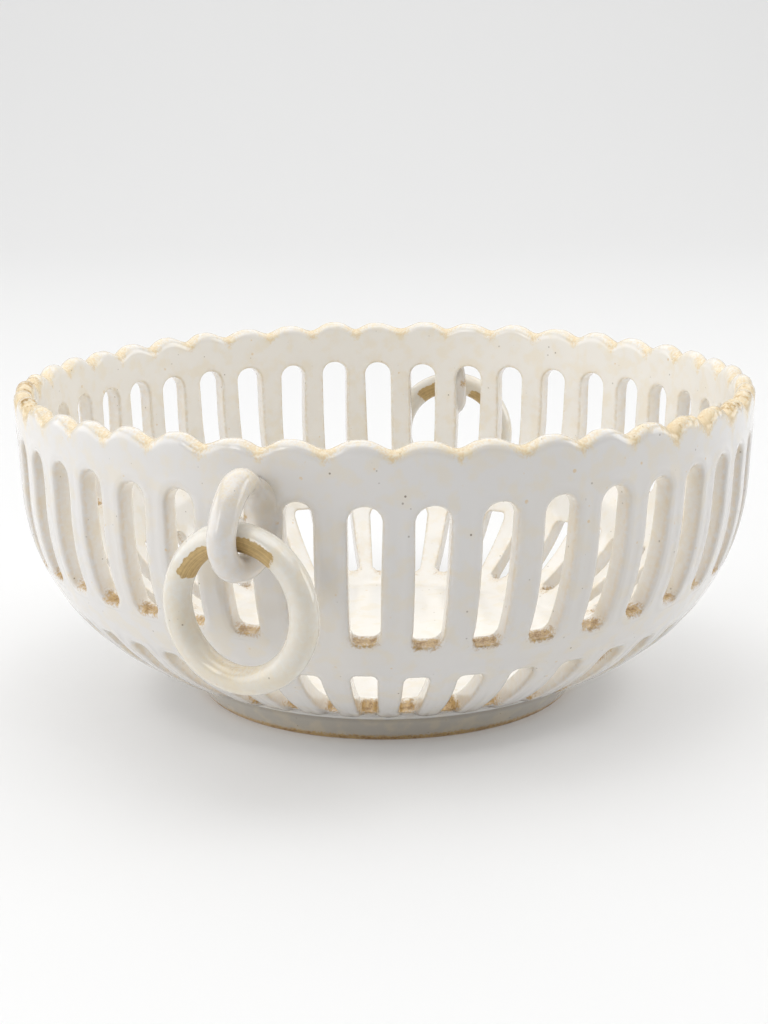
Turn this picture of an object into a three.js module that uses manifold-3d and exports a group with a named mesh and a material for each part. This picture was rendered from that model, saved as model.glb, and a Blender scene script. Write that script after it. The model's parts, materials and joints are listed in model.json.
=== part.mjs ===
// Openwork creamware basket: a scalloped bowl with two rows of upright slots on a plain foot,
// with a clay loop on either side of the rim and a loose ring handle hanging in each loop.
// Millimetres, +Z up, origin in the middle of the foot's underside, loops near the X axis.
import * as THREE from "three";
import { mergeVertices } from "three/addons/utils/BufferGeometryUtils.js";
import Module from "manifold-3d";

const wasm = await Module();
wasm.setup();

// Bowl
const RIM_RADIUS = 120;
const RIM_HEIGHT = 106;
const WALL = 6;
const LIP_HEIGHT = 27;
const LIP_FLARE = 1.2;
const BELLY_TOP_PULL = 34;
const BELLY_FOOT_PULL = 36;
const BELLY_FOOT_SLOPE = 22.5;
const BASE_THICKNESS = 6;

// Scallops and slots, one slot under each scallop
const SLOT_COUNT = 43;
const SCALLOP_DEPTH = 2.5;
const RIB_WIDTH = 8;
const RIM_BAND = 16;
const MIDDLE_BAND = 13;
const LOWER_SLOT_HEIGHT = 18;
const BASE_RISE = 8;
const SLOT_ARCH = 3.6;
const SLOT_CORNER = 1.8;
const NARROW_CORNER_SHARE = 0.8;

// Foot
const FOOT_HEIGHT = 10;
const FOOT_TOP_RADIUS = 67.5;
const FOOT_BOTTOM_RADIUS = 59;
const FOOT_WALL = 8;
const FOOT_EDGE_ROUND = 1;

// Loops
const LOOP_THICKNESS = 8;
const LOOP_HALF_DEPTH = 8.9;
const LOOP_BACK_DEPTH = 13.4;
const LOOP_TOP_REACH = 14.3;
const LOOP_TILT = 18;
const LOOP_EYE_REACH = 11.6;
const SEAT_GAP = 0.3;
const FRONT_LOOP_PLACE = 179.7;
const FRONT_LOOP_DROP = 24.4;
const FRONT_LOOP_TWIST = -8.5;
const REAR_LOOP_PLACE = 3.9;
const REAR_LOOP_DROP = 25.4;
const REAR_LOOP_TWIST = 8.3;

// Ring handles
const RING_DIAMETER = 48.6;
const RING_THICKNESS = 8.5;
const HANG_GAP = 0.3;
const FRONT_RING_TURN = -2.5;
const REAR_RING_TURN = 0;

// Fineness of the curved surfaces
const FACETS_PER_SLOT = 1;
const BELLY_STEPS = 7;
const LIP_STEPS = 4;
const LOOP_STEPS = 28;
const RING_STEPS = 32;
const ROLL_SIDES = 10;
const SLOT_CURVE_STEPS = 1;
const DIP_CURVE_STEPS = 2;

// How far a cutter runs past the surface that it cuts
const CUT_PAST = 3;

// Glaze colours and roughness: the bowl, the shaded foot, the loops and the worn rings
const BOWL_GLAZE = { color: 0xe8e4da, roughness: 0.25 };
const FOOT_GLAZE = { color: 0xd9d3c6, roughness: 0.4 };
const LOOP_GLAZE = { color: 0xe6e1d6, roughness: 0.3 };
const RING_GLAZE = { color: 0xe4dcc8, roughness: 0.35 };

const radians = THREE.MathUtils.degToRad;
const facets = SLOT_COUNT * FACETS_PER_SLOT;

// A closed mesh as a solid that can be joined and cut.
function solidFrom(geometry) {
  const bare = geometry.clone();
  bare.deleteAttribute("normal");
  bare.deleteAttribute("uv");
  const merged = mergeVertices(bare, 1e-4);
  return new wasm.Manifold(
    new wasm.Mesh({
      numProp: 3,
      vertProperties: new Float32Array(merged.attributes.position.array),
      triVerts: new Uint32Array(merged.index.array),
    }),
  );
}

// A joined or cut solid as a geometry again.
function geometryFrom(solid) {
  const mesh = solid.getMesh();
  const geometry = new THREE.BufferGeometry();
  geometry.setAttribute("position", new THREE.BufferAttribute(mesh.vertProperties, 3));
  geometry.setIndex(new THREE.BufferAttribute(mesh.triVerts, 1));
  geometry.computeVertexNormals();
  return geometry;
}

// A piece of the basket as a named mesh with its own glaze.
function named(name, geometry, glaze) {
  const material = new THREE.MeshStandardMaterial({ ...glaze, metalness: 0 });
  const mesh = new THREE.Mesh(geometry, material);
  mesh.name = name;
  return mesh;
}

// A profile of (radius, height) points turned round the upright axis, with a corner on the X axis.
function turned(profile) {
  const geometry = new THREE.LatheGeometry(profile, facets, Math.PI / 2);
  return geometry.rotateX(Math.PI / 2);
}

// Outside of the bowl from the foot joint up to where the rounded lip starts.
function outerProfile() {
  const footJoint = new THREE.Vector2(FOOT_TOP_RADIUS, FOOT_HEIGHT);
  const slope = radians(BELLY_FOOT_SLOPE);
  const bellyTop = new THREE.Vector2(RIM_RADIUS - LIP_FLARE, RIM_HEIGHT - LIP_HEIGHT);
  const belly = new THREE.CubicBezierCurve(
    footJoint,
    new THREE.Vector2(Math.cos(slope), Math.sin(slope)).multiplyScalar(BELLY_FOOT_PULL).add(footJoint),
    new THREE.Vector2(bellyTop.x, bellyTop.y - BELLY_TOP_PULL),
    bellyTop,
  );
  const lipStart = new THREE.Vector2(RIM_RADIUS, RIM_HEIGHT - WALL / 2);
  return [...belly.getPoints(BELLY_STEPS), lipStart];
}

// The same points moved square to the curve, inwards for a positive distance.
function offsetProfile(points, distance) {
  return points.map((point, i) => {
    const before = points[Math.max(i - 1, 0)];
    const after = points[Math.min(i + 1, points.length - 1)];
    const along = after.clone().sub(before).normalize();
    return new THREE.Vector2(point.x - along.y * distance, point.y + along.x * distance);
  });
}

// Radius of a profile at a height, between its points.
function radiusAt(points, height) {
  const above = Math.max(points.findIndex((point) => point.y >= height), 1);
  const low = points[above - 1];
  const high = points[above];
  return low.x + ((high.x - low.x) * (height - low.y)) / (high.y - low.y);
}

const outside = outerProfile();
const inside = offsetProfile(outside, WALL);

// Half a slot's width at a height: what the ribs, which keep their width, leave of the spacing.
function halfSlot(height) {
  return (Math.PI * radiusAt(outside, height)) / SLOT_COUNT - RIB_WIDTH / 2;
}

// Upper slot: straight sides that close in downwards, an arched top and rounded bottom corners.
function upperSlotShape(bottom, top) {
  const low = halfSlot(bottom);
  const high = halfSlot(top);
  const shape = new THREE.Shape();
  shape.moveTo(SLOT_CORNER - low, bottom);
  shape.lineTo(low - SLOT_CORNER, bottom);
  shape.quadraticCurveTo(low, bottom, low, bottom + SLOT_CORNER);
  shape.lineTo(high, top - SLOT_ARCH);
  shape.absellipse(0, top - SLOT_ARCH, high, SLOT_ARCH, 0, Math.PI / 2, false);
  shape.absellipse(0, top - SLOT_ARCH, high, SLOT_ARCH, Math.PI / 2, Math.PI, false);
  shape.lineTo(-low, bottom + SLOT_CORNER);
  shape.quadraticCurveTo(-low, bottom, SLOT_CORNER - low, bottom);
  return shape;
}

// Lower slot: shorter, closing in faster, with all four corners rounded.
function lowerSlotShape(bottom, top) {
  const low = halfSlot(bottom);
  const high = halfSlot(top);
  const lowCorner = Math.min(SLOT_CORNER, low * NARROW_CORNER_SHARE);
  const shape = new THREE.Shape();
  shape.moveTo(lowCorner - low, bottom);
  shape.lineTo(low - lowCorner, bottom);
  shape.quadraticCurveTo(low, bottom, low, bottom + lowCorner);
  shape.lineTo(high, top - SLOT_CORNER);
  shape.quadraticCurveTo(high, top, high - SLOT_CORNER, top);
  shape.lineTo(SLOT_CORNER - high, top);
  shape.quadraticCurveTo(-high, top, -high, top - SLOT_CORNER);
  shape.lineTo(-low, bottom + lowCorner);
  shape.quadraticCurveTo(-low, bottom, lowCorner - low, bottom);
  return shape;
}

// The dip between two scallops, open upwards: each scallop rises to a flat crest.
function dipShape() {
  const half = (Math.PI * RIM_RADIUS) / SLOT_COUNT;
  const shape = new THREE.Shape();
  shape.moveTo(-half, RIM_HEIGHT);
  shape.quadraticCurveTo(-half / 2, RIM_HEIGHT, 0, RIM_HEIGHT - SCALLOP_DEPTH);
  shape.quadraticCurveTo(half / 2, RIM_HEIGHT, half, RIM_HEIGHT);
  shape.lineTo(half, RIM_HEIGHT + CUT_PAST);
  shape.lineTo(-half, RIM_HEIGHT + CUT_PAST);
  return shape;
}

// An upright outline run outwards from one radius to another, at an angle round the bowl.
function radialCutter(shape, curveSegments, fromRadius, toRadius, angle) {
  const geometry = new THREE.ExtrudeGeometry(shape, {
    depth: toRadius - fromRadius,
    bevelEnabled: false,
    curveSegments,
  });
  geometry.translate(0, 0, fromRadius);
  const across = new THREE.Vector3(-Math.sin(angle), Math.cos(angle), 0);
  const outwards = new THREE.Vector3(Math.cos(angle), Math.sin(angle), 0);
  const turn = new THREE.Matrix4().makeBasis(across, new THREE.Vector3(0, 0, 1), outwards);
  return solidFrom(geometry.applyMatrix4(turn));
}

// The bowl: one turned wall and base, cut by a ring of dips and two rings of slots.
function bowlGeometry() {
  const lipCentre = outside.at(-1).clone().add(inside.at(-1)).multiplyScalar(0.5);
  const lip = [];
  for (let i = 1; i < LIP_STEPS; i++) {
    const turnBy = (Math.PI * i) / LIP_STEPS;
    const reach = new THREE.Vector2(Math.cos(turnBy), Math.sin(turnBy)).multiplyScalar(WALL / 2);
    lip.push(lipCentre.clone().add(reach));
  }
  const profile = [
    new THREE.Vector2(0, FOOT_HEIGHT),
    ...outside,
    ...lip,
    ...inside.toReversed(),
    new THREE.Vector2(0, FOOT_HEIGHT + BASE_THICKNESS),
  ];
  const lowerBottom = FOOT_HEIGHT + BASE_RISE;
  const lowerTop = lowerBottom + LOWER_SLOT_HEIGHT;
  const upperBottom = lowerTop + MIDDLE_BAND;
  const upperTop = RIM_HEIGHT - RIM_BAND;
  const lowerShape = lowerSlotShape(lowerBottom, lowerTop);
  const upperShape = upperSlotShape(upperBottom, upperTop);
  const dip = dipShape();
  const upperReach = radiusAt(inside, upperBottom) - CUT_PAST;
  const lowerReach = radiusAt(inside, lowerBottom) - CUT_PAST;
  const dipReach = RIM_RADIUS - WALL - CUT_PAST;
  const pastRim = RIM_RADIUS + CUT_PAST;
  const cutters = [];
  for (let i = 0; i < SLOT_COUNT; i++) {
    const angle = (2 * Math.PI * i) / SLOT_COUNT;
    const betweenSlots = angle + Math.PI / SLOT_COUNT;
    cutters.push(radialCutter(upperShape, SLOT_CURVE_STEPS, upperReach, pastRim, angle));
    cutters.push(radialCutter(lowerShape, SLOT_CURVE_STEPS, lowerReach, pastRim, angle));
    cutters.push(radialCutter(dip, DIP_CURVE_STEPS, dipReach, pastRim, betweenSlots));
  }
  const blank = solidFrom(turned(profile));
  return geometryFrom(blank.subtract(wasm.Manifold.union(cutters)));
}

// The foot: a low ring that draws in towards the table, with its lower edges eased.
function footGeometry() {
  const innerRadius = FOOT_BOTTOM_RADIUS - FOOT_WALL;
  return turned([
    new THREE.Vector2(innerRadius + FOOT_EDGE_ROUND, 0),
    new THREE.Vector2(FOOT_BOTTOM_RADIUS - FOOT_EDGE_ROUND, 0),
    new THREE.Vector2(FOOT_BOTTOM_RADIUS, FOOT_EDGE_ROUND),
    new THREE.Vector2(FOOT_TOP_RADIUS, FOOT_HEIGHT),
    new THREE.Vector2(innerRadius, FOOT_HEIGHT),
    new THREE.Vector2(innerRadius, FOOT_EDGE_ROUND),
    new THREE.Vector2(innerRadius + FOOT_EDGE_ROUND, 0),
  ]);
}

// Centre line of a loop in its own upright plane: round below, drawn up above and back into the
// wall, and leaning to the wall.
class LoopLine extends THREE.Curve {
  getPoint(t, target = new THREE.Vector3()) {
    const turnBy = 2 * Math.PI * t;
    const depth = Math.cos(turnBy) < 0 ? LOOP_BACK_DEPTH : LOOP_HALF_DEPTH;
    const reach = Math.sin(turnBy) < 0 ? LOOP_HALF_DEPTH : LOOP_TOP_REACH;
    target.set(depth * Math.cos(turnBy), 0, reach * Math.sin(turnBy));
    return target.applyAxisAngle(new THREE.Vector3(0, 1, 0), -radians(LOOP_TILT));
  }
}

// One side of the basket: a loop luted to the wall, with its ring hanging in it.
// The group's origin lies on the outside of the wall, and its +X axis points away from the bowl.
function handle(side, place, drop, twist, ringTurn) {
  const angle = radians(place);
  const eyeHeight = RIM_HEIGHT - drop;
  const wallRadius = radiusAt(outside, eyeHeight);
  const group = new THREE.Group();
  group.position.set(wallRadius * Math.cos(angle), wallRadius * Math.sin(angle), 0);
  group.rotation.z = angle + radians(twist);
  group.updateMatrixWorld(true);

  const roll = new THREE.TubeGeometry(new LoopLine(), LOOP_STEPS, LOOP_THICKNESS / 2, ROLL_SIDES, true);
  roll.translate(LOOP_EYE_REACH, 0, eyeHeight);
  const clearOfWall = offsetProfile(outside, -SEAT_GAP);
  const wallBody = turned([
    new THREE.Vector2(0, clearOfWall[0].y),
    ...clearOfWall,
    new THREE.Vector2(clearOfWall.at(-1).x, RIM_HEIGHT + CUT_PAST),
    new THREE.Vector2(0, RIM_HEIGHT + CUT_PAST),
  ]);
  wallBody.applyMatrix4(group.matrixWorld.clone().invert());
  const luted = geometryFrom(solidFrom(roll).subtract(solidFrom(wallBody)));
  group.add(named(side + "_loop", luted, LOOP_GLAZE));

  const ringRadius = (RING_DIAMETER - RING_THICKNESS) / 2;
  const hang = new THREE.Group();
  const seat = eyeHeight - LOOP_HALF_DEPTH + LOOP_THICKNESS / 2;
  hang.position.set(LOOP_EYE_REACH, 0, seat + HANG_GAP + RING_THICKNESS / 2);
  hang.rotation.z = radians(ringTurn);
  const torus = new THREE.TorusGeometry(ringRadius, RING_THICKNESS / 2, ROLL_SIDES, RING_STEPS);
  const ring = named(side + "_ring", torus, RING_GLAZE);
  ring.rotation.y = Math.PI / 2;
  ring.position.z = -ringRadius;
  hang.add(ring);
  group.add(hang);
  return group;
}

const basket = new THREE.Group();
basket.add(named("pierced_bowl", bowlGeometry(), BOWL_GLAZE));
basket.add(named("foot_ring", footGeometry(), FOOT_GLAZE));
basket.add(handle("front", FRONT_LOOP_PLACE, FRONT_LOOP_DROP, FRONT_LOOP_TWIST, FRONT_RING_TURN));
basket.add(handle("rear", REAR_LOOP_PLACE, REAR_LOOP_DROP, REAR_LOOP_TWIST, REAR_RING_TURN));

export default basket;
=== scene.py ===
import json
import math
import random
from bisect import bisect_right

import bmesh
import bpy
from mathutils import Matrix, Vector, noise


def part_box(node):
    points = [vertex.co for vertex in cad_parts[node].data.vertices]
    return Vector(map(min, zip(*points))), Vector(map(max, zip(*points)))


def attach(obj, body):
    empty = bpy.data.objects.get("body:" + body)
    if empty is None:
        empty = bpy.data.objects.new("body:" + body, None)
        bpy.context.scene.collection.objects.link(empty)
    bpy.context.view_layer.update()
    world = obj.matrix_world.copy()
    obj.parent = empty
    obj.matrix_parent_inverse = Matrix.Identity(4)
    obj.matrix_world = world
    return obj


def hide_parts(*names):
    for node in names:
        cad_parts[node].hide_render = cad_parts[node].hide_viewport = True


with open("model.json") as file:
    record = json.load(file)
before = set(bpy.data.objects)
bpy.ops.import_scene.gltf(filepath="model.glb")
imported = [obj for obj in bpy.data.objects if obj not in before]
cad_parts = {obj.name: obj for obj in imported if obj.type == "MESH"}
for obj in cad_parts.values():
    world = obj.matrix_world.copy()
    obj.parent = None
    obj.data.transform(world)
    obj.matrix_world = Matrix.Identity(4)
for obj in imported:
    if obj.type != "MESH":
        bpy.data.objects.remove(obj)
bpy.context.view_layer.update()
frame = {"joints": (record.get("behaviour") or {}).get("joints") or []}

# The bowl's wall: cream-coloured earthenware, thrown in one piece and about 6 mm thick.
# It rises from the foot in one full curve, stands nearly upright below the rim, and its
# lip is rounded. The hand-thrown wall wanders a little in and out.
rim_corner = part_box("pierced_bowl")[1]
foot_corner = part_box("foot_ring")[1]
wall_thickness = 0.006
wall_wander = 0.0005
wander_waves_round = 1.6
wander_waves_up = 14
wander_starts = 0.012
wander_threshold = 0.35
shy_of_solid = 0.0001
rim_radius = rim_corner.x - shy_of_solid
rim_height = rim_corner.z
lip_flare = 0.0012
lip_height = 0.027
joint_drop = 0.0009
foot_joint = Vector((foot_corner.x, foot_corner.z - joint_drop))
belly_slope = math.radians(22.5)
belly_foot_pull = 0.036
belly_top = Vector((rim_radius - lip_flare, rim_height - lip_height))
belly_top_pull = 0.034
belly_steps = 40


def curve_point(t, start, near_start, near_end, end):
    """A point on a smooth curve that leaves start for near_start and comes to end from near_end."""
    s = 1 - t
    return start * s**3 + near_start * (3 * s * s * t) + near_end * (3 * s * t * t) + end * t**3


def moved_inwards(line, distance):
    """The same line of (radius, height) points, moved square to itself."""
    moved = []
    for i, point in enumerate(line):
        along = (line[min(i + 1, len(line) - 1)] - line[max(i - 1, 0)]).normalized()
        moved.append(point + Vector((-along.y, along.x)) * distance)
    return moved


def radius_at(line, height):
    """The radius of a line at a height, between its points."""
    above = min(max(bisect_right([point.y for point in line], height), 1), len(line) - 1)
    low, high = line[above - 1], line[above]
    return low.x + (high.x - low.x) * (height - low.y) / (high.y - low.y)


foot_pull = foot_joint + Vector((math.cos(belly_slope), math.sin(belly_slope))) * belly_foot_pull
top_pull = belly_top - Vector((0, belly_top_pull))
outside = []
for step in range(belly_steps + 1):
    outside.append(curve_point(step / belly_steps, foot_joint, foot_pull, top_pull, belly_top))
outside.append(Vector((rim_radius, rim_height)))
inside = moved_inwards(outside, wall_thickness)
inner_floor = inside[0].y


def smooth_step(low, high, value):
    """0 below low, 1 above high, and a smooth rise between."""
    share = min(max((value - low) / (high - low), 0), 1)
    return share * share * (3 - 2 * share)


def wander(angle, height):
    """How far the wall stands in from its true round, at an angle round the bowl."""
    waves = wander_waves_round
    place = Vector((math.cos(angle) * waves, math.sin(angle) * waves, height * wander_waves_up))
    above_joint = smooth_step(foot_joint.y, foot_joint.y + wander_starts, height)
    return wall_wander * min(0, noise.noise(place) - wander_threshold) * above_joint


# The slots: the leather-hard wall is cut through with a narrow knife into two rings of upright
# slots. The cutter worked by eye, so slots stand up to four degrees off even places, and on one
# side they lean and sit lower. The knife pointed down into the wall, so their floors slope out.
slot_count = 43
sector = 2 * math.pi / slot_count
rib_width = 0.008
lower_floor = foot_joint.y + 0.0058
lower_floor_slope = 0.0031
lower_floor_half = 0.0029
lower_top_rise = 0.0274
lower_top_dip = 0.0024
upper_floor_rise = 0.0421
upper_floor_dip = 0.0060
upper_floor_slope = 0.0011
upper_top_drop = 0.0150
upper_top_dip = 0.0034
rear_top_dip = 0.0012
arch_share = 0.96
corner_round = 0.0018
lower_corner_round = 0.0022
upper_corner_round = 0.0025
cell_margin = 0.0042
cell_margin_below = 0.003
floor_margin = 0.0007
edge_round = 0.0013
inner_edge_round = 0.0009
inner_edge_end = 0.0014
glaze_ridge = 0.00012
ridge_start = 0.0030
ridge_crest = 0.0022
ridge_end = 0.0017
cutter_slip = 0.0003
cutter_tilt = 0.0004
narrower_by_loop = 0.14
drift_all_round = 0.77
# Waves in the slots' places: how many go round, how far in degrees, and where the first crests.
drift_waves = ((1, 0.87, 158.6), (2, 1.50, 113.1), (3, 0.62, 8.7))
columns = 20
upper_steps = 26
lower_steps = 14
hand = random.Random(43)


def near(angle, middle, spread):
    """1 at one side of the bowl, given in degrees, and falling to 0 away from it."""
    apart = (math.degrees(angle) - middle + 180) % 360 - 180
    return math.exp(-((apart / spread) ** 2))


def lower_top(angle):
    """The height of a lower slot's top. The next two give an upper slot's floor and top."""
    return foot_joint.y + lower_top_rise - lower_top_dip * near(angle, 212, 45)


def upper_floor(angle):
    return foot_joint.y + upper_floor_rise - upper_floor_dip * near(angle, 211, 37)


def upper_top(angle):
    top = rim_height - upper_top_drop - upper_top_dip * near(angle, 206, 42)
    return top - rear_top_dip * near(angle, -1, 14)


def lean(angle, height):
    """How far round, in degrees, the cutter's hand strayed at a height, beside the common drift."""
    levels = (
        (foot_joint.y + 0.027, -1.2 * near(angle, 203, 24)),
        (foot_joint.y + 0.041, -1.1 * near(angle, 251, 28)),
        (rim_height - 0.016, 0.85 * near(angle, 224, 34)),
        (rim_height - 0.007, -1.4 * near(angle, 246, 30) - 0.5 * near(angle, 176, 40)),
    )
    strayed = levels[0][1]
    for (low, before), (high, after) in zip(levels, levels[1:]):
        strayed += (after - before) * min(max((height - low) / (high - low), 0), 1)
    return strayed


def drifted(angle, height):
    """Where the cutter put what even spacing would put at an angle."""
    drift = drift_all_round
    for waves, size, crest in drift_waves:
        drift += size * math.cos(waves * angle - math.radians(crest))
    return angle + math.radians(drift + lean(angle, height))


def half_slot(height):
    """Half a slot's width at a height: what the ribs leave of the spacing, and never less than
    the knife needs at a lower slot's floor."""
    return max(math.pi * radius_at(outside, height) / slot_count - rib_width / 2, lower_floor_half)


def corner(centre, radius_x, radius_y, start, end, steps=8):
    """A quarter or so of an oval, from one angle to another, in degrees."""
    points = []
    for i in range(steps + 1):
        turn = math.radians(start + (end - start) * i / steps)
        points.append(centre + Vector((radius_x * math.cos(turn), radius_y * math.sin(turn))))
    return points


def spaced(points, steps):
    """The start of each of a number of equal steps along a line of points."""
    lengths = [0]
    for a, b in zip(points, points[1:]):
        lengths.append(lengths[-1] + (b - a).length)
    found = []
    for i in range(steps):
        want = lengths[-1] * i / steps
        after = min(bisect_right(lengths, want), len(points) - 1)
        share = (want - lengths[after - 1]) / (lengths[after] - lengths[after - 1])
        found.append(points[after - 1].lerp(points[after], share))
    return found


def slot_outline(floor, top, low, high, rise, low_round, side_steps):
    """A slot's outline, anticlockwise from its lower left corner, as steps along its four sides.
    low and high are its half widths, and rise the height of its arched or cornered top."""
    low_corner = min(low_round, low * 0.8)
    reach = high if rise > corner_round else corner_round
    flat = high - reach
    lower_left = Vector((low_corner - low, floor + low_corner))
    lower_right = Vector((low - low_corner, floor + low_corner))
    upper_right = Vector((flat, top - rise))
    upper_left = Vector((-flat, top - rise))
    bottom = corner(lower_left, low_corner, low_corner, 225, 270)
    bottom += corner(lower_right, low_corner, low_corner, 270, 315)
    right = corner(lower_right, low_corner, low_corner, 315, 360)
    right += corner(upper_right, reach, rise, 0, 45)
    over = corner(upper_right, reach, rise, 45, 90)
    over += corner(upper_left, reach, rise, 90, 135)
    left = corner(upper_left, reach, rise, 135, 180)
    left += corner(lower_left, low_corner, low_corner, 180, 225)
    outline = []
    for side, steps in ((bottom, columns), (right, side_steps), (over, columns), (left, side_steps)):
        outline += spaced(side, steps)
    return outline


def outward_normals(outline):
    """The direction away from the slot at each point of its outline."""
    found = []
    for i in range(len(outline)):
        along = (outline[(i + 1) % len(outline)] - outline[i - 1]).normalized()
        found.append(Vector((along.y, -along.x)))
    return found


class Wall:
    """The mesh of the bowl as it grows: points with the marks that the glaze shows."""

    def __init__(self):
        self.points = []
        self.faces = []
        self.marks = {"stain": [], "edge": [], "inner": [], "rim": [], "crease": []}

    def add(self, point, **marks):
        self.points.append(point)
        for name, values in self.marks.items():
            values.append(marks.get(name, 0))
        return len(self.points) - 1

    def join(self, row, next_row, closed=False):
        """Faces between two rows of points."""
        last = len(row) if closed else len(row) - 1
        for i in range(last):
            j = (i + 1) % len(row)
            self.faces.append((row[i], row[j], next_row[j], next_row[i]))


# The ribs end below the lower slots as rounded tongues, which stand a little proud of the
# smooth band above the foot. A dark painted shade lines the fine crease round each tongue.
tongue_relief = 0.0019
tongue_end = foot_joint.y + 0.0028
tongue_half = 0.0032
crease_shade_width = 0.0014


def beyond_tongue(across, height):
    """How far a point of the outside lies beyond the nearest rib's rounded end."""
    from_rib = radius_at(outside, height) * math.sin(sector / 2) - abs(across)
    drop = max(tongue_end + tongue_half - height, 0)
    return math.hypot(from_rib, drop) - tongue_half


def under_slot(height):
    """1 on the band below the slots, and 0 at the foot's joint and beside the slots."""
    above_joint = smooth_step(foot_joint.y, foot_joint.y + 0.0018, height)
    return above_joint * (1 - smooth_step(lower_floor + 0.0008, lower_floor + 0.0026, height))


def relief(across, height):
    """How far the outside lies in from the ribs' face."""
    beyond = smooth_step(-0.0002, 0.0007, beyond_tongue(across, height))
    return -tongue_relief * beyond * under_slot(height)


def crease(across, height):
    """1 in the crease round a tongue, where a painted shade goes, and 0 away from it."""
    off = abs(beyond_tongue(across, height) - 0.0004)
    below = smooth_step(foot_joint.y + 0.001, foot_joint.y + 0.003, height)
    return (1 - smooth_step(0, crease_shade_width, off)) * under_slot(height) * below


def round_point(angle, radius, height):
    """A point at an angle round the bowl, where the cutter's drift puts it."""
    turn = drifted(angle, height)
    return Vector((radius * math.cos(turn), radius * math.sin(turn), height))


def wall_point(angle, across, height, line, depth=0):
    """A point of the wall's face, at a distance across from the middle of the slot at an angle."""
    radius = radius_at(line, height) + depth
    turn = angle + math.asin(across / radius)
    radius += wander(turn, height)
    if line is outside:
        radius += relief(across, height)
    return round_point(turn, radius, height)


def border(angle, low, high, side_steps, line):
    """The outline of the piece of wall that a slot is cut in, in steps that match the slot's.
    low and high give its heights at an angle."""
    points = []

    def add(share, height):
        points.append(Vector((radius_at(line, height) * math.sin(sector / 2) * share, height)))

    for i in range(columns):
        share = 2 * i / columns - 1
        add(share, low(angle + share * sector / 2))
    right = angle + sector / 2
    for i in range(side_steps):
        add(1, low(right) + (high(right) - low(right)) * i / side_steps)
    for i in range(columns):
        share = 1 - 2 * i / columns
        add(share, high(angle + share * sector / 2))
    left = angle - sector / 2
    for i in range(side_steps):
        add(-1, high(left) + (low(left) - high(left)) * i / side_steps)
    return points


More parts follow.
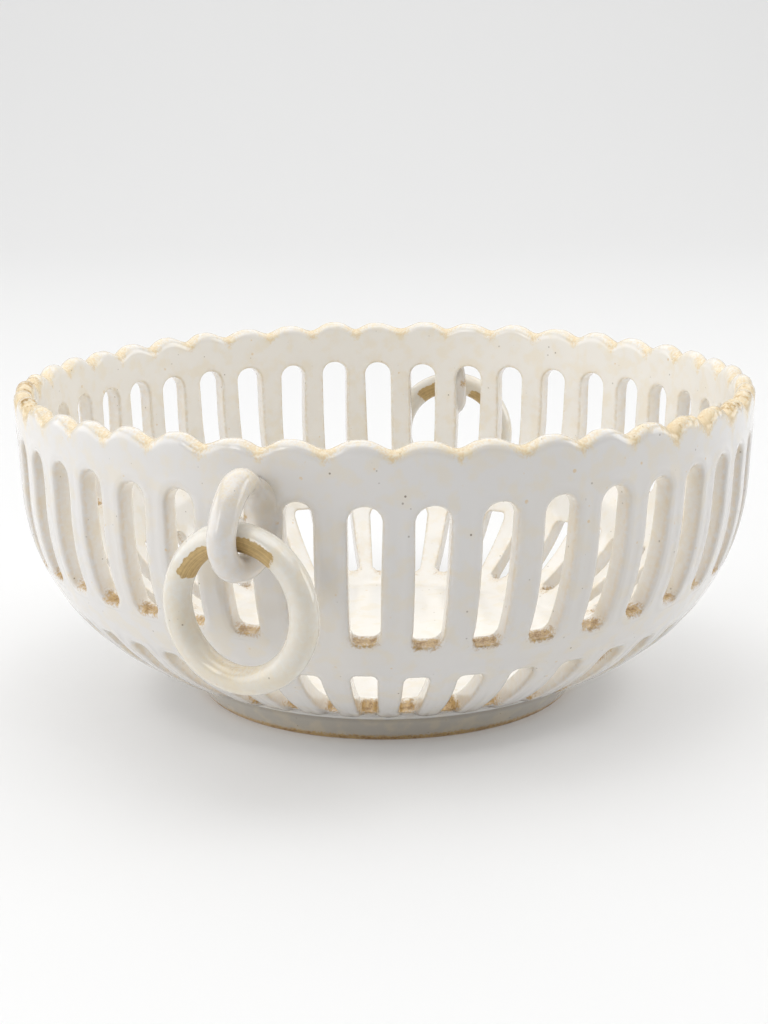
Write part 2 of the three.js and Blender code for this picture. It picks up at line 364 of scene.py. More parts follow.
def cut_slot(wall, angle, floor, top, slope, rise, low_round, side_steps, cell, stain_share):
    """One slot with the wall round it, from the outer face through the cut to the inner face.
    cell gives the heights of the wall's piece: its low edge outside and inside, and its high edge.
    Its floor rises inwards by the slope. rise is the height of its arch as a share of half its
    width, or 1 for a top with cornered ends.
    Returns the border's points outside and inside, each from its lower left corner round."""
    shift = hand.uniform(-cutter_slip, cutter_slip)
    tilt = hand.uniform(-cutter_tilt, cutter_tilt)
    wide = hand.uniform(0.96, 1.04) - narrower_by_loop * near(angle, 181, 6)
    floor += hand.uniform(-cutter_slip, cutter_slip)
    top += hand.uniform(-0.0005, 0.0004)
    stain_share *= hand.uniform(0.75, 1.15)
    low_half = half_slot(floor) * wide
    high_half = half_slot(top) * wide
    top_rise = rise * high_half if rise < 1 else corner_round
    outline = slot_outline(floor, top, low_half, high_half, top_rise, low_round, side_steps)
    for point in outline:
        point.x += shift + tilt * (2 * point.y - floor - top) / (top - floor)
    normals = outward_normals(outline)
    lifts = []
    for point in outline:
        lifts.append(slope * (1 - smooth_step(floor + low_round * 0.2, floor + low_round * 2, point.y)))
    low_outside, low_inside, high = cell
    outer_border = border(angle, low_outside, high, side_steps, outside)
    inner_border = border(angle, low_inside, high, side_steps, inside)
    rows = []
    row = []
    for point in outer_border:
        place = wall_point(angle, point.x, point.y, outside)
        # the outer border carries the painted shade of the tongues' creases
        row.append(wall.add(place, crease=crease(point.x, point.y)))
    rows.append(row)

    def face_row(line, away, depth, edge, border_points, inner):
        """A row on the outer or inner face, at a distance away from the slot's outline."""
        made = []
        for point, normal, limit, lift in zip(outline, normals, border_points, lifts):
            start = point.y + lift * inner
            at = Vector((point.x + normal.x * away, start + normal.y * away))
            lowest = min(limit.y, start) if normal.y < 0 else at.y
            at.y = max(at.y, lowest + (start - lowest) * 0.12)
            spread = max(1 - away / (edge_round * 1.8), 0)
            stain = stain_share * max(-normal.y, 0) ** 0.7 * spread * (0.7 - 0.35 * inner)
            # the painted shade of the tongues' creases, on the outer face only
            crease_shading = 0 if inner else crease(at.x, at.y) * (1 - spread)
            place = wall_point(angle, at.x, at.y, line, depth)
            made.append(wall.add(place, stain=stain, edge=edge, inner=inner, crease=crease_shading))
        return made

    rows.append(face_row(outside, ridge_start, 0, 0, outer_border, 0))
    rows.append(face_row(outside, ridge_crest, glaze_ridge, 0, outer_border, 0))
    rows.append(face_row(outside, ridge_end, 0, 0.1, outer_border, 0))
    round_steps = 5
    for step in range(round_steps):
        turn = math.pi / 2 * step / (round_steps - 1)
        away = edge_round * (1 - math.sin(turn))
        depth = -edge_round * (1 - math.cos(turn))
        wear = 0.1 + 0.7 * math.sin(turn) ** 3
        rows.append(face_row(outside, away, depth, wear, outer_border, 0))
    for share in (0.2, 0.4, 0.6, 0.8):
        row = []
        for point, normal, lift in zip(outline, normals, lifts):
            outer = wall_point(angle, point.x, point.y, outside, -edge_round)
            inner = wall_point(angle, point.x, point.y + lift, inside, inner_edge_round)
            corner_dirt = 0.5 * (1 - smooth_step(floor, floor + 0.0055, point.y))
            if floor < inner_floor:  # the few slots cut below the bowl's floor hold dirt on their sides
                corner_dirt = max(corner_dirt, 0.37 * math.sin(math.pi * share))
            ledge = max(max(-normal.y, 0) ** 0.8, corner_dirt)
            fade = 1 - 0.42 * smooth_step(0.35, 1, share)
            stain = stain_share * ledge * (0.75 + 0.25 * math.sin(math.pi * share)) * fade
            row.append(wall.add(outer.lerp(inner, share), stain=stain, edge=0.3, inner=share))
        rows.append(row)
    for step in range(round_steps):
        turn = math.pi / 2 * step / (round_steps - 1)
        away = inner_edge_round * (1 - math.cos(turn))
        depth = inner_edge_round * (1 - math.sin(turn))
        wear = 0.25 + 0.5 * math.sin(2 * turn)
        rows.append(face_row(inside, away, depth, wear, inner_border, 1))
    rows.append(face_row(inside, inner_edge_end, 0, 0.1, inner_border, 1))
    row = []
    for point in inner_border:
        row.append(wall.add(wall_point(angle, point.x, point.y, inside), inner=1))
    rows.append(row)
    for a, b in zip(rows, rows[1:]):
        wall.join(a, b, closed=True)
    return rows[0], rows[-1]


def lower_edge(row):
    """The part of a border's row along its lower edge, from left to right."""
    return row[:columns + 1]


def upper_edge(row, side_steps):
    """The part of a border's row along its upper edge, from left to right."""
    top = row[columns + side_steps:2 * columns + side_steps + 1]
    return top[::-1]


# The rim: a scallop over each slot, a low arch pared by hand and a little different from the next.
# The rim warped by a millimetre in the fire, and use has worn and chipped it on two sides, where
# tan clay shows most.
scallop_rise = 0.0026
scallop_spread = 0.0004
crest_drop = 0.00085
rim_sway = 0.0008
chip_depth = 0.0009
chip_waves = 42
chip_dirt_waves = 60
chip_dirt_waves_down = 500
rim_stain_depth = 0.0062
worn_sides = ((math.radians(258), math.radians(30)), (math.radians(118), math.radians(24)))


def worn(angle):
    """How worn the rim is at an angle, from 0 to 1."""
    most = 0
    for middle, spread in worn_sides:
        apart = (angle - middle + math.pi) % (2 * math.pi) - math.pi
        most = max(most, 1 - smooth_step(spread * 0.5, spread, abs(apart)))
    return most


def rim_top(angle, share, rise, skew):
    """The rim's height at a share across a scallop, from -1 to 1."""
    turn = angle + share * sector / 2
    sway = rim_sway * (0.45 * math.cos(turn) + math.cos(2 * (turn - math.radians(10))))
    valley = rim_height - crest_drop - scallop_rise + sway
    bent = share - skew * (1 - share * share)
    arch = math.cos(math.pi / 2 * abs(bent) ** 1.35) ** 2
    chips = noise.noise(Vector((math.cos(turn), math.sin(turn), 3)) * chip_waves)
    return valley + rise * arch - chip_depth * max(chips - 0.1, 0) * (0.25 + 2 * worn(turn))


def rim_stain(angle, share, below):
    """Tan at a distance below the rim's top: deepest in the valleys and where the rim is worn."""
    turn = angle + share * sector / 2
    reach = rim_stain_depth * (0.55 + 0.6 * share * share + 0.45 * worn(turn))
    return (1 - smooth_step(0, reach, below)) * (0.36 + 0.40 * share * share + 0.30 * worn(turn))


def chip_dirt(angle, share, below):
    """Brown in the chips of a worn rim, at a distance below its top."""
    turn = angle + share * sector / 2
    waves = chip_dirt_waves
    down = below * chip_dirt_waves_down
    rough = noise.noise(Vector((math.cos(turn) * waves, math.sin(turn) * waves, down)))
    return 0.55 * worn(turn) * smooth_step(-0.1, 0.4, rough) * (1 - smooth_step(0.001, 0.0032, below))


def band(wall, angle, first_row, low, high, line, steps, inner=0, tops=None):
    """Rows of wall between two heights, each given as a function of the share across."""
    rows = [first_row]
    for step in range(1, steps + 1):
        row = []
        for i in range(columns + 1):
            share = 2 * i / columns - 1
            height = low(share) + (high(share) - low(share)) * step / steps
            across = radius_at(line, height) * math.sin(sector / 2) * share
            place = wall_point(angle, across, height, line)
            tint = rim_stain(angle, share, tops(share) - height) if tops else 0
            brown = chip_dirt(angle, share, tops(share) - height) if tops else 0
            # the painted shade of the tongues' creases, on the outer face only
            crease_shading = 0 if inner else crease(across, height)
            row.append(wall.add(place, inner=inner, rim=tint, stain=brown, crease=crease_shading))
        rows.append(row)
    for a, b in zip(rows, rows[1:]):
        wall.join(a, b)
    return rows[-1]


def lip(wall, angle, outer_row, inner_row, tops):
    """The rounded lip, from the outer face over to the inner face."""
    half = wall_thickness / 2
    steps = 8
    rows = [outer_row]
    for step in range(1, steps):
        turn = math.pi * step / steps
        row = []
        for i in range(columns + 1):
            share = 2 * i / columns - 1
            start = tops(share) - half
            turned_by = math.sin(sector / 2) * share
            outer = wall_point(angle, radius_at(outside, start) * turned_by, start, outside)
            inner = wall_point(angle, radius_at(inside, start) * turned_by, start, inside)
            middle = (outer + inner) / 2
            place = middle + (outer - middle) * math.cos(turn) + Vector((0, 0, half * math.sin(turn)))
            below = half * (1 - math.sin(turn))
            row.append(wall.add(place, rim=rim_stain(angle, share, below),
                                stain=chip_dirt(angle, share, below), inner=step / steps))
        rows.append(row)
    rows.append(inner_row)
    for a, b in zip(rows, rows[1:]):
        wall.join(a, b)


def round_row(wall, angle, radius, height, **marks):
    """A row of points across a sector, at one radius and height."""
    row = []
    for i in range(columns + 1):
        turn = angle + (2 * i / columns - 1) * sector / 2
        row.append(wall.add(round_point(turn, radius, height), **marks))
    return row


def lower_cell_bottom(angle):
    return lower_floor - cell_margin_below


def lower_cell_top(angle):
    return lower_top(angle) + cell_margin


def upper_cell_bottom(angle):
    return upper_floor(angle) - cell_margin_below


def upper_cell_top(angle):
    return upper_top(angle) + cell_margin


def inner_cell_bottom(angle):
    return inner_floor + floor_margin


floor_rise = 0.0004
floor_radii = (0.064, 0.06, 0.05, 0.035, 0.018, 0.004)
underside_radii = (0.05, 0.03, 0.004)
wall = Wall()
for index in range(slot_count):
    angle = sector * index
    rise = scallop_rise + hand.uniform(-scallop_spread, scallop_spread)
    skew = hand.uniform(-0.12, 0.12)

    def at(level):
        """A height that is given by angle, as a function of the share across this sector."""
        return lambda share: level(angle + share * sector / 2)

    def tops(share):
        return rim_top(angle, share, rise, skew)

    def lip_start(share):
        return tops(share) - wall_thickness / 2

    base = []
    for i in range(columns + 1):
        across = foot_joint.x * math.sin(sector / 2) * (2 * i / columns - 1)
        base.append(wall.add(wall_point(angle, across, foot_joint.y, outside)))
    lower_cell = (lower_cell_bottom, inner_cell_bottom, lower_cell_top)
    upper_cell = (upper_cell_bottom, upper_cell_bottom, upper_cell_top)
    lower_outer, lower_inner = cut_slot(
        wall, angle, lower_floor, lower_top(angle), lower_floor_slope, 1.0, lower_corner_round,
        lower_steps, lower_cell, 1.0)
    upper_outer, upper_inner = cut_slot(
        wall, angle, upper_floor(angle), upper_top(angle), upper_floor_slope, arch_share,
        upper_corner_round, upper_steps, upper_cell, 0.85)
    band(wall, angle, base, lambda share: foot_joint.y, at(lower_cell_bottom), outside, 9)
    band(wall, angle, upper_edge(lower_outer, lower_steps), at(lower_cell_top),
         at(upper_cell_bottom), outside, 4)
    band(wall, angle, upper_edge(lower_inner, lower_steps), at(lower_cell_top),
         at(upper_cell_bottom), inside, 4, inner=1)
    outer_row = band(wall, angle, upper_edge(upper_outer, upper_steps), at(upper_cell_top),
                     lip_start, outside, 10, tops=tops)
    inner_row = band(wall, angle, upper_edge(upper_inner, upper_steps), at(upper_cell_top),
                     lip_start, inside, 10, inner=1, tops=tops)
    lip(wall, angle, outer_row, inner_row, tops)
    floor_row = lower_edge(lower_inner)
    for radius in floor_radii:
        row = round_row(wall, angle, radius, inner_floor + floor_rise, inner=1)
        wall.join(row, floor_row)
        floor_row = row
    under_row = base
    for radius in underside_radii:
        row = round_row(wall, angle, radius, foot_joint.y)
        wall.join(row, under_row)
        under_row = row

sharp_angle = math.radians(48)


def mesh_object(name, points, faces, marks):
    """A smooth-shaded piece from points and faces, with its marks as attributes."""
    mesh = bpy.data.meshes.new(name)
    mesh.from_pydata(points, [], faces)
    for mark, values in marks.items():
        attribute = mesh.attributes.new(mark, "FLOAT", "POINT")
        attribute.data.foreach_set("value", values)
    piece = bpy.data.objects.new(name, mesh)
    bpy.context.scene.collection.objects.link(piece)
    tidy = bmesh.new()
    tidy.from_mesh(mesh)
    bmesh.ops.remove_doubles(tidy, verts=tidy.verts, dist=0.00001)
    bmesh.ops.holes_fill(tidy, edges=tidy.edges, sides=0)
    bmesh.ops.recalc_face_normals(tidy, faces=tidy.faces)
    for face in tidy.faces:
        face.smooth = True
    for edge in tidy.edges:
        edge.smooth = edge.calc_face_angle(0) < sharp_angle
    tidy.to_mesh(mesh)
    tidy.free()
    return piece


bowl = mesh_object("bowl_wall", wall.points, wall.faces, wall.marks)


# The glaze: a clear lead glaze over cream clay. It lies glossy and slightly uneven, thins to tan
# over every edge, and holds brown stain where fruit juice and dust settled on the slots' floors.
# The inside is painted paler and warmer than the outside, as painted light, and the creases
# are darkened with painted shade.
def node(tree, kind, **values):
    """A shader node with its settings and the values of its sockets."""
    made = tree.nodes.new(kind)
    for name, value in values.items():
        if hasattr(made, name):
            setattr(made, name, value)
        else:
            made.inputs[name.replace("_", " ")].default_value = value
    return made


def spread_out(tree, value, low, high):
    """A value spread smoothly so that low becomes 0 and high becomes 1."""
    spread = node(tree, "ShaderNodeMapRange", interpolation_type="SMOOTHSTEP",
                  From_Min=low, From_Max=high)
    tree.links.new(value, spread.inputs["Value"])
    return spread.outputs["Result"]


def noise_cloud(tree, place, scale, detail, low, high):
    """Cloudy noise, spread so that low becomes 0 and high becomes 1."""
    cloud = node(tree, "ShaderNodeTexNoise", Scale=scale, Detail=detail)
    tree.links.new(place, cloud.inputs["Vector"])
    return spread_out(tree, cloud.outputs["Fac"], low, high)


def combined(tree, operation, a, b):
    """Two values added, subtracted or multiplied, held between 0 and 1. b may be a number."""
    result = node(tree, "ShaderNodeMath", operation=operation, use_clamp=True)
    tree.links.new(a, result.inputs[0])
    if isinstance(b, float):
        result.inputs[1].default_value = b
    else:
        tree.links.new(b, result.inputs[1])
    return result.outputs[0]


def times(tree, a, b):
    return combined(tree, "MULTIPLY", a, b)


def dots(tree, place, spacing, size, share):
    """Round specks, at most one to each spacing, of a share of the places and of random size."""
    cells = node(tree, "ShaderNodeTexVoronoi", Scale=1 / spacing)
    tree.links.new(place, cells.inputs["Vector"])
    chance = node(tree, "ShaderNodeSeparateColor")
    tree.links.new(cells.outputs["Color"], chance.inputs["Color"])
    picked = spread_out(tree, chance.outputs["Red"], 1 - share, 1.0)
    reach = times(tree, picked, size / spacing)
    inside_dot = combined(tree, "SUBTRACT", reach, cells.outputs["Distance"])
    return spread_out(tree, inside_dot, 0, size / spacing * 0.35)


def tinted(tree, colour, tint, amount):
    """A colour mixed towards a tint by an amount."""
    mix = node(tree, "ShaderNodeMix", data_type="RGBA")
    tree.links.new(amount, mix.inputs["Factor"])
    if isinstance(colour, tuple):
        mix.inputs[6].default_value = colour
    else:
        tree.links.new(colour, mix.inputs[6])
    mix.inputs[7].default_value = tint
    return mix.outputs[2]


def mark(tree, name):
    """One of the marks that the mesh carries."""
    return node(tree, "ShaderNodeAttribute", attribute_name=name).outputs["Fac"]


cream = (0.775, 0.757, 0.738, 1)
warm_cream = (0.78, 0.743, 0.692, 1)
# a paler, warmer cream for the inside: painted light for its bright lighting
lit_inner_cream = (0.90, 0.873, 0.82, 1)
pale_tan = (0.84, 0.70, 0.43, 1)
valley_tan = (0.74, 0.54, 0.27, 1)
golden_stain = (0.60, 0.385, 0.12, 1)
brown_stain = (0.27, 0.135, 0.03, 1)
# a dark grey-brown for painted shade in the creases, round the tongues and under the foot's joint
painted_crease_shade = (0.20, 0.16, 0.12, 1)
dark_speck = (0.17, 0.12, 0.07, 1)


def glaze(name, clean, warm):
    """The glaze on a piece: stain, wear and specks, painted light inside and painted shade in creases.
    """
    material = bpy.data.materials.new(name)
    material.use_nodes = True
    tree = material.node_tree
    surface = tree.nodes["Principled BSDF"]
    place = node(tree, "ShaderNodeTexCoord").outputs["Object"]
    clouds = noise_cloud(tree, place, 22.0, 3.0, 0.35, 0.7)
    patches = noise_cloud(tree, place, 170.0, 4.0, 0.46, 0.66)
    mottle = noise_cloud(tree, place, 620.0, 4.0, 0.34, 0.62)
    crust = noise_cloud(tree, place, 1500.0, 3.0, 0.42, 0.60)
    rim = mark(tree, "rim")
    stain = mark(tree, "stain")
    edge = mark(tree, "edge")
    colour = tinted(tree, clean, warm, times(tree, clouds, 0.6))
    # the inside turns paler and warmer: painted light
    colour = tinted(tree, colour, lit_inner_cream, times(tree, mark(tree, "inner"), 0.9))
    colour = tinted(tree, colour, pale_tan, times(tree, patches, 0.22))
    colour = tinted(tree, colour, valley_tan, times(tree, times(tree, edge, mottle), 0.4))
    rim_cover = spread_out(tree, combined(tree, "SUBTRACT", rim, times(tree, mottle, 0.3)), 0.0, 0.6)
    colour = tinted(tree, colour, pale_tan, times(tree, rim_cover, 0.7))
    deep_rim = spread_out(tree, combined(tree, "SUBTRACT", rim, times(tree, crust, 0.45)), 0.12, 0.7)
    colour = tinted(tree, colour, valley_tan, times(tree, deep_rim, 0.6))
    # painted shade in the creases
    colour = tinted(tree, colour, painted_crease_shade, times(tree, mark(tree, "crease"), 0.8))
    thinned = combined(tree, "SUBTRACT", stain, times(tree, mottle, 0.20))
    ragged = spread_out(tree, combined(tree, "SUBTRACT", thinned, times(tree, crust, 0.24)), 0.0, 0.5)
    colour = tinted(tree, colour, golden_stain, times(tree, ragged, 0.9))
    blotches = noise_cloud(tree, place, 380.0, 4.0, 0.36, 0.68)
    clotted = combined(tree, "ADD", times(tree, crust, 0.6), times(tree, blotches, 0.6))
    crusted = times(tree, ragged, clotted)
    colour = tinted(tree, colour, brown_stain, times(tree, crusted, 0.85))
    freckles = dots(tree, place, 0.0044, 0.0007, 0.45)
    colour = tinted(tree, colour, valley_tan, times(tree, times(tree, freckles, mottle), 0.65))
    specks = dots(tree, place, 0.0025, 0.0004, 0.42)
    colour = tinted(tree, colour, dark_speck, times(tree, times(tree, specks, patches), 0.8))
    fine_specks = dots(tree, place, 0.0031, 0.0004, 0.28)
    colour = tinted(tree, colour, dark_speck, times(tree, fine_specks, 0.45))
    tree.links.new(colour, surface.inputs["Base Color"])
    dull = combined(tree, "ADD", times(tree, crusted, 0.9), times(tree, rim, 0.25))
    rough = node(tree, "ShaderNodeMapRange", To_Min=0.16, To_Max=0.8)
    tree.links.new(dull, rough.inputs["Value"])
    tree.links.new(rough.outputs["Result"], surface.inputs["Roughness"])
    surface.inputs["Coat Weight"].default_value = 0.5
    surface.inputs["Coat Roughness"].default_value = 0.07
    ripple = node(tree, "ShaderNodeTexNoise", Scale=48.0, Detail=2.0)
    tree.links.new(place, ripple.inputs["Vector"])
    bump = node(tree, "ShaderNodeBump", Strength=0.4, Distance=0.0007)
    tree.links.new(ripple.outputs["Fac"], bump.inputs["Height"])
    grit = node(tree, "ShaderNodeBump", Strength=0.6, Distance=0.0003)
    tree.links.new(crusted, grit.inputs["Height"])
    tree.links.new(bump.outputs["Normal"], grit.inputs["Normal"])
    tree.links.new(grit.outputs["Normal"], surface.inputs["Normal"])
    return material


bowl.data.materials.append(glaze("cream_glaze", cream, warm_cream))
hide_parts("pierced_bowl")
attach(bowl, "basket")

# The foot: a low ring turned under the base, of the same clay. It draws in towards the table,
# and its standing edge is bare and worn to golden brown. Its glaze is painted much darker than
# the bowl's, as painted shade for the shadow under the bowl.
foot_wall = 0.008
foot_edge = 0.0014
foot_facets = 172
foot_draws_in = 0.0064
bare_edge_start = 0.0009
bare_edge_end = 0.0030
worn_edge_start = 0.0008
worn_edge_end = 0.004
foot_profile_shares = (0, 0.05, 0.1, 0.2, 0.3, 0.45, 0.65, 0.82)
# darker copies of the bowl's creams: painted shade over the whole foot
shaded_foot_warm = (0.47, 0.43, 0.36, 1)
shaded_foot_cream = (0.50, 0.465, 0.41, 1)


def turned(profile, facets):
    """Points and faces of a closed profile of (radius, height) turned round the upright axis."""
    points = []
    faces = []
    for i in range(facets):
        turn = 2 * math.pi * i / facets
        for at in profile:
            points.append(Vector((at.x * math.cos(turn), at.x * math.sin(turn), at.y)))
    for i in range(facets):
        for j in range(len(profile)):
            a = i * len(profile) + j
            b = i * len(profile) + (j + 1) % len(profile)
            c = (i + 1) % facets * len(profile) + (j + 1) % len(profile)
            d = (i + 1) % facets * len(profile) + j
            faces.append((a, d, c, b))
    return points, faces


def eased(before, tip, after, steps=6):
    """A corner rounded from one point to another, short of its tip."""
    points = []
    for i in range(steps + 1):
        t = i / steps
        points.append(before.lerp(tip, t).lerp(tip.lerp(after, t), t))
    return points


outer_top = foot_joint.copy()
outer_low = Vector((foot_joint.x - foot_draws_in, 0))
inner_low = Vector((outer_low.x - foot_wall, 0))
inner_top = Vector((inner_low.x, foot_joint.y))
lean_in = (outer_top - outer_low).normalized()
foot_profile = [outer_top.lerp(outer_low, share) for share in foot_profile_shares]
foot_profile += eased(outer_low + lean_in * foot_edge, outer_low, outer_low - Vector((foot_edge, 0)))
foot_profile += eased(inner_low + Vector((foot_edge, 0)), inner_low, inner_low + Vector((0, foot_edge)))
foot_profile += [inner_low.lerp(inner_top, 0.6), inner_top]
foot_points, foot_faces = turned(foot_profile, foot_facets)
foot_marks = {"stain": [], "edge": [], "crease": []}
for point in foot_points:
    below_joint = smooth_step(foot_joint.y - 0.0018, foot_joint.y - 0.0004, point.z)
    foot_marks["stain"].append(0.9 * (1 - smooth_step(bare_edge_start, bare_edge_end, point.z)))
    foot_marks["edge"].append(0.8 * (1 - smooth_step(worn_edge_start, worn_edge_end, point.z)))
    # painted shade just under the foot's joint
    foot_marks["crease"].append(0.35 * below_joint)
foot = mesh_object("foot", foot_points, foot_faces, foot_marks)
foot.data.materials.append(glaze("shaded_foot_glaze", shaded_foot_cream, shaded_foot_warm))
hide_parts("foot_ring")
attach(foot, "basket")

# The loops: a roll of clay bent into a drop-shaped eye and luted to the wall under the rim with
# slip, which leaves a small fillet round the joint. It is drawn thin where it comes to the wall,
# its back is pressed flat, and dirt lies in the corner over it.
loop_thickness = 0.008
loop_half_depth = 0.0089
loop_back_depth = 0.0135
loop_top_reach = 0.0143
loop_shoulder = 0.65
loop_neck = math.radians(118)
loop_neck_spread = 0.5
neck_narrowed = 0.30
neck_thinned = 0.45
back_widened = 0.15
back_flattened = 0.18
loop_tilt = math.radians(18)
loop_steps = 72
loop_sides = 24
loop_fillet = 0.0016
loop_fillet_reach = 0.0028
hang_gap = 0.0003
ring_thickness = 0.0085
joints = {joint["name"]: joint for joint in frame["joints"]}
headings = {"front": math.radians(171.2), "rear": math.radians(12.2)}


def tube(line, sections):
    """Points and faces of a closed tube along a closed line that lies in an upright plane.
    A section is a list of (out, across) offsets from the line."""
    points = []
    faces = []
    count = len(line)
    around = len(sections[0])
    across = Vector((0, 1, 0))
    for i in range(count):
        along = (line[(i + 1) % count] - line[i - 1]).normalized()
        out = across.cross(along).normalized()
        for off in sections[i]:
            points.append(line[i] + out * off.x + across * off.y)
    for i in range(count):
        for j in range(around):
            a = i * around + j
            b = i * around + (j + 1) % around
            c = (i + 1) % count * around + (j + 1) % around
            d = (i + 1) % count * around + j
            faces.append((a, b, c, d))
    return points, faces


def oval(width, depth, sides):
    """A roll's section: a list of (out, across) offsets round an oval."""
    section = []
    for j in range(sides):
        turn = 2 * math.pi * j / sides
        section.append(Vector((depth / 2 * math.cos(turn), width / 2 * math.sin(turn))))
    return section


def loop_line():
    """The middle of a loop's roll, round below and drawn up above, leaning to the wall."""
    points = []
    for i in range(loop_steps):
        turn = 2 * math.pi * i / loop_steps
        depth = loop_back_depth if math.cos(turn) < 0 else loop_half_depth
        reach = loop_half_depth if math.sin(turn) < 0 else loop_top_reach
        rise = math.sin(turn)
        if math.cos(turn) < 0 < rise:
            rise **= loop_shoulder
        at = Vector((depth * math.cos(turn), 0, reach * rise))
        points.append(Matrix.Rotation(-loop_tilt, 3, "Y") @ at)
    return points


for side, heading in headings.items():
    hinge = Vector(joints[side + "_ring_swing"]["pos_m"])
    eye_height = hinge.z - hang_gap - ring_thickness / 2 - loop_thickness / 2 + loop_half_depth
    stand = Matrix.Translation((hinge.x, hinge.y, eye_height)) @ Matrix.Rotation(heading, 4, "Z")
    line = loop_line()
    sections = []
    for i in range(loop_steps):
        turn = 2 * math.pi * i / loop_steps
        plump = 0.985 + 0.09 * max(math.sin(turn + 0.2), 0) ** 2
        neck = math.exp(-(((turn - loop_neck) / loop_neck_spread) ** 2))
        pressed = smooth_step(0.4, 0.9, -math.cos(turn))
        wide = loop_thickness * (plump - neck_narrowed * neck + back_widened * pressed)
        deep = loop_thickness * (plump - neck_thinned * neck - back_flattened * pressed)
        sections.append(oval(wide, deep, loop_sides))
    points, faces = tube(line, sections)
    marks = {"stain": [], "edge": [], "rim": []}
    placed = []
    for i, point in enumerate(points):
        place = stand @ point
        gap = math.hypot(place.x, place.y) - radius_at(outside, min(place.z, rim_height))
        away = (point - line[i // loop_sides]).normalized()
        away.x = 0
        fillet = loop_fillet * max(1 - max(gap, 0) / loop_fillet_reach, 0) ** 2
        place += stand.to_3x3() @ (away * fillet)
        placed.append(place)
        corner_dirt = 0.6 * (1 - smooth_step(0, 0.0012, gap)) * smooth_step(0.009, 0.014, point.z)
        grit = smooth_step(0.0015, 0.0035, -point.y) * math.exp(-((point.z - 0.002) / 0.002) ** 2)
        marks["stain"].append(max(corner_dirt, 0.6 * grit * smooth_step(0.006, 0.009, -point.x)))
        marks["edge"].append(0.3)
        marks["rim"].append(0.34 * smooth_step(0.002, 0.014, point.z))
    loop = mesh_object(side + "_clay_loop", placed, faces, marks)
    loop.data.materials.append(bpy.data.materials["cream_glaze"])
    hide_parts(side + "_loop")
    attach(loop, "basket")

# The ring handles: each a roll of clay closed into a ring through its loop before firing, so it
# swings loose. It is glazed all over but for matt golden scars where it stuck beside the loop, and
# a painted shade darkens the scar on its inner side next to the loop.
ring_diameter = 0.0486
ring_middle = (ring_diameter - ring_thickness) / 2
ring_plump = 0.97
ring_uneven = 0.02
ring_steps = 120
ring_sides = 32
# Each scar: where it starts and ends round the ring, in degrees from its top, and how far over the
# roll it reaches, from 1 on the ring's inside to -1 on its outside.
scars = ((24, 64, 0.0), (-39, -2, -0.45))
ring_cream = (0.79, 0.77, 0.715, 1)
ring_warm = (0.77, 0.70, 0.57, 1)
scar_clay = (0.62, 0.43, 0.17, 1)
# dark brown for the scars' streaks, and for the painted shade beside the loop
scar_streak_and_shade = (0.28, 0.17, 0.055, 1)


def ring_glaze():
    """The glaze again: bare scars, fine lines along them, and painted shade on the scar by the loop."""
    material = glaze("ring_glaze_mat", ring_cream, ring_warm)
    tree = material.node_tree
    surface = tree.nodes["Principled BSDF"]
    colour = surface.inputs["Base Color"].links[0].from_socket
    rough = surface.inputs["Roughness"].links[0].from_socket
    place = node(tree, "ShaderNodeTexCoord").outputs["Object"]
    ragged = noise_cloud(tree, place, 760.0, 4.0, 0.35, 0.65)
    scar = combined(tree, "SUBTRACT", mark(tree, "scar"), times(tree, ragged, 0.38))
    cover = spread_out(tree, scar, 0.1, 0.4)
    grain = noise_cloud(tree, place, 700.0, 5.0, 0.38, 0.62)
    threads = node(tree, "ShaderNodeTexNoise", noise_dimensions="1D", Scale=11.0, Detail=3.0)
    tree.links.new(mark(tree, "thread"), threads.inputs["W"])
    lines = times(tree, spread_out(tree, threads.outputs["Fac"], 0.40, 0.60), 0.65)
    streaks = combined(tree, "ADD", lines, times(tree, grain, 0.35))
    colour = tinted(tree, colour, scar_clay, times(tree, cover, 0.95))
    colour = tinted(tree, colour, scar_streak_and_shade, times(tree, times(tree, cover, streaks), 0.5))
    uneven = combined(tree, "ADD", times(tree, streaks, 0.5), 0.4)
    # painted shade on the scar next to the loop, made uneven by the streaks
    shade_by_loop = times(tree, times(tree, mark(tree, "shade_by_loop"), cover), uneven)
    colour = tinted(tree, colour, scar_streak_and_shade, shade_by_loop)
    tree.links.new(colour, surface.inputs["Base Color"])
    matt = node(tree, "ShaderNodeMix", data_type="FLOAT")
    tree.links.new(cover, matt.inputs[0])
    tree.links.new(rough, matt.inputs[2])
    matt.inputs[3].default_value = 0.85
    tree.links.new(matt.outputs[0], surface.inputs["Roughness"])
    return material


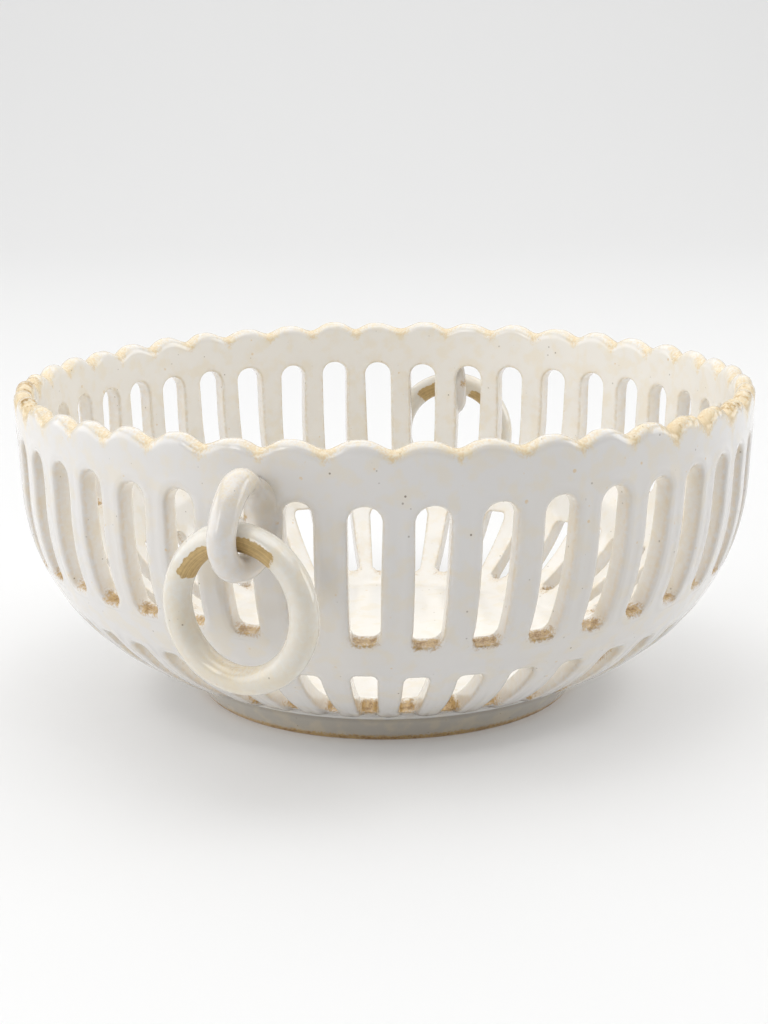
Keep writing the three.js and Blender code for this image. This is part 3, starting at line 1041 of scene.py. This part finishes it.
ring_material = ring_glaze()
for side in headings:
    joint = joints[side + "_ring_swing"]
    hinge = Vector(joint["pos_m"])
    outwards = Vector((0, 0, 1)).cross(Vector(joint["axis"]))
    heading = math.atan2(outwards.y, outwards.x) - math.pi / 2
    stand = Matrix.Translation(hinge - Vector((0, 0, ring_middle))) @ Matrix.Rotation(heading, 4, "Z")
    ring_line = []
    sections = []
    for i in range(ring_steps):
        turn = 2 * math.pi * i / ring_steps
        ring_line.append(Vector((ring_middle * math.sin(turn), 0, ring_middle * math.cos(turn))))
        plump = ring_plump + ring_uneven * math.sin(3 * turn + 1)
        sections.append(oval(ring_thickness * plump, ring_thickness * plump * 0.98, ring_sides))
    points, faces = tube(ring_line, sections)
    marks = {"edge": [], "rim": [], "scar": [], "shade_by_loop": [], "thread": []}
    placed = []
    for i, point in enumerate(points):
        middle = ring_line[i // ring_sides]
        turn = math.degrees(math.atan2(middle.x, middle.z))
        inwards = -(point - middle).normalized().dot(middle.normalized())
        at_end = abs(middle.z) / ring_middle
        placed.append(stand @ point)
        marks["edge"].append(0.35)
        marks["rim"].append(0.42 * smooth_step(0.45, 1, at_end) * (0.6 + 0.4 * inwards))
        scar = 0
        for start, end, side_reach in scars:
            along = smooth_step(start - 4, start + 4, turn) * (1 - smooth_step(end - 4, end + 4, turn))
            scar = max(scar, along * smooth_step(side_reach - 0.1, side_reach + 0.3, inwards))
        marks["scar"].append(scar)
        # where the painted shade by the loop goes: the inner side, just before and at the ring's top
        beside_loop = smooth_step(-26, -10, turn) * (1 - smooth_step(2, 10, turn))
        marks["shade_by_loop"].append(beside_loop * smooth_step(0.1, 0.8, inwards))
        marks["thread"].append(inwards)
    ring = mesh_object(side + "_ring_handle", placed, faces, marks)
    ring.data.materials.append(ring_material)
    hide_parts(side + "_ring")
    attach(ring, side + "_handle")

# The floor: a plain sheet of pale matt paper. It lies flat under the basket and sweeps up far
# behind it, so that no edge shows at the camera's side.
camera_side = math.radians(-73.52)
sweep_half_width = 5.5
sweep_front = -9.0
sweep_back = 1.5
sweep_bend = 0.9
sweep_height = 3.2
bend_steps = 24
sweep_line = [Vector((sweep_front, 0)), Vector((sweep_back, 0))]
for i in range(1, bend_steps + 1):
    turn = math.pi / 2 * i / bend_steps
    back = sweep_back + sweep_bend * math.sin(turn)
    sweep_line.append(Vector((back, sweep_bend * (1 - math.cos(turn)))))
sweep_line.append(Vector((sweep_back + sweep_bend, sweep_height)))
facing = Matrix.Rotation(camera_side, 3, "Z")
sweep_points = []
sweep_faces = []
for at in sweep_line:
    sweep_points.append(facing @ Vector((-sweep_half_width, at.x, at.y)))
    sweep_points.append(facing @ Vector((sweep_half_width, at.x, at.y)))
for i in range(len(sweep_line) - 1):
    sweep_faces.append((2 * i, 2 * i + 1, 2 * i + 3, 2 * i + 2))
sweep_mesh = bpy.data.meshes.new("floor_sweep")
sweep_mesh.from_pydata(sweep_points, [], sweep_faces)
sweep_mesh.shade_smooth()
sweep = bpy.data.objects.new("floor_sweep", sweep_mesh)
bpy.context.scene.collection.objects.link(sweep)
paper = bpy.data.materials.new("pale_paper")
paper.use_nodes = True
paper.node_tree.nodes["Principled BSDF"].inputs["Base Color"].default_value = (0.65, 0.65, 0.648, 1)
paper.node_tree.nodes["Principled BSDF"].inputs["Emission Color"].default_value = (1, 1, 1, 1)
paper.node_tree.nodes["Principled BSDF"].inputs["Emission Strength"].default_value = 0.185
paper.node_tree.nodes["Principled BSDF"].inputs["Roughness"].default_value = 0.9
paper.node_tree.nodes["Principled BSDF"].inputs["Specular IOR Level"].default_value = 0.2
sweep.data.materials.append(paper)

# The light: one very wide soft light and a smaller one overhead, which fill the bowl and leave
# its front in soft shade, with a window on either side and a weaker one in front.
world = bpy.data.worlds.new("studio")
world.use_nodes = True
world.node_tree.nodes["Background"].inputs["Color"].default_value = (1.0, 1.0, 1.0, 1)
world.node_tree.nodes["Background"].inputs["Strength"].default_value = 0.13
bpy.context.scene.world = world
bpy.context.scene.view_settings.view_transform = "Standard"


def soft_light(name, around, height, distance, wide, high, power):
    """A soft light, placed by its angle from the camera's side, aimed at the basket."""
    lamp = bpy.data.lights.new(name, "AREA")
    lamp.shape = "RECTANGLE"
    lamp.size = wide
    lamp.size_y = high
    lamp.energy = power
    light = bpy.data.objects.new(name, lamp)
    turn = camera_side + math.radians(around)
    light.location = (math.sin(turn) * distance, -math.cos(turn) * distance, height)
    aim = Vector((0, 0, 0.05)) - light.location
    light.rotation_euler = aim.to_track_quat("-Z", "Y").to_euler()
    bpy.context.scene.collection.objects.link(light)


soft_light("sky", around=180, height=2.2, distance=0.3, wide=4.0, high=4.0, power=66)
soft_light("skylight", around=0, height=1.7, distance=0.35, wide=1.4, high=1.0, power=5.2)
soft_light("window_left", around=-85, height=0.45, distance=1.3, wide=1.6, high=0.8, power=7.4)
soft_light("window_right", around=95, height=0.5, distance=1.3, wide=0.8, high=0.8, power=5.4)
soft_light("window_front", around=-38, height=0.75, distance=1.4, wide=0.4, high=0.6, power=2.6)

# The camera: a portrait frame from a little above the rim, looking down by some thirteen degrees,
# with the front ring left of the middle.
camera_distance = 0.60952
camera_height = 0.20328
look_down = math.radians(13.399)
look_aside = math.radians(0.041)
camera_roll = math.radians(-0.462)
focal_length = 66.04
sensor_width = 36
lens = bpy.data.cameras.new("camera")
lens.sensor_width = sensor_width
lens.lens = focal_length
lens.clip_start = 0.01
camera = bpy.data.objects.new("camera", lens)
aimed = Matrix.Rotation(camera_side, 4, "Z") @ Matrix.Translation((0, -camera_distance, camera_height))
aimed @= Matrix.Rotation(look_aside, 4, "Z") @ Matrix.Rotation(math.pi / 2 - look_down, 4, "X")
camera.matrix_world = aimed @ Matrix.Rotation(camera_roll, 4, "Z")
bpy.context.scene.collection.objects.link(camera)
bpy.context.scene.camera = camera
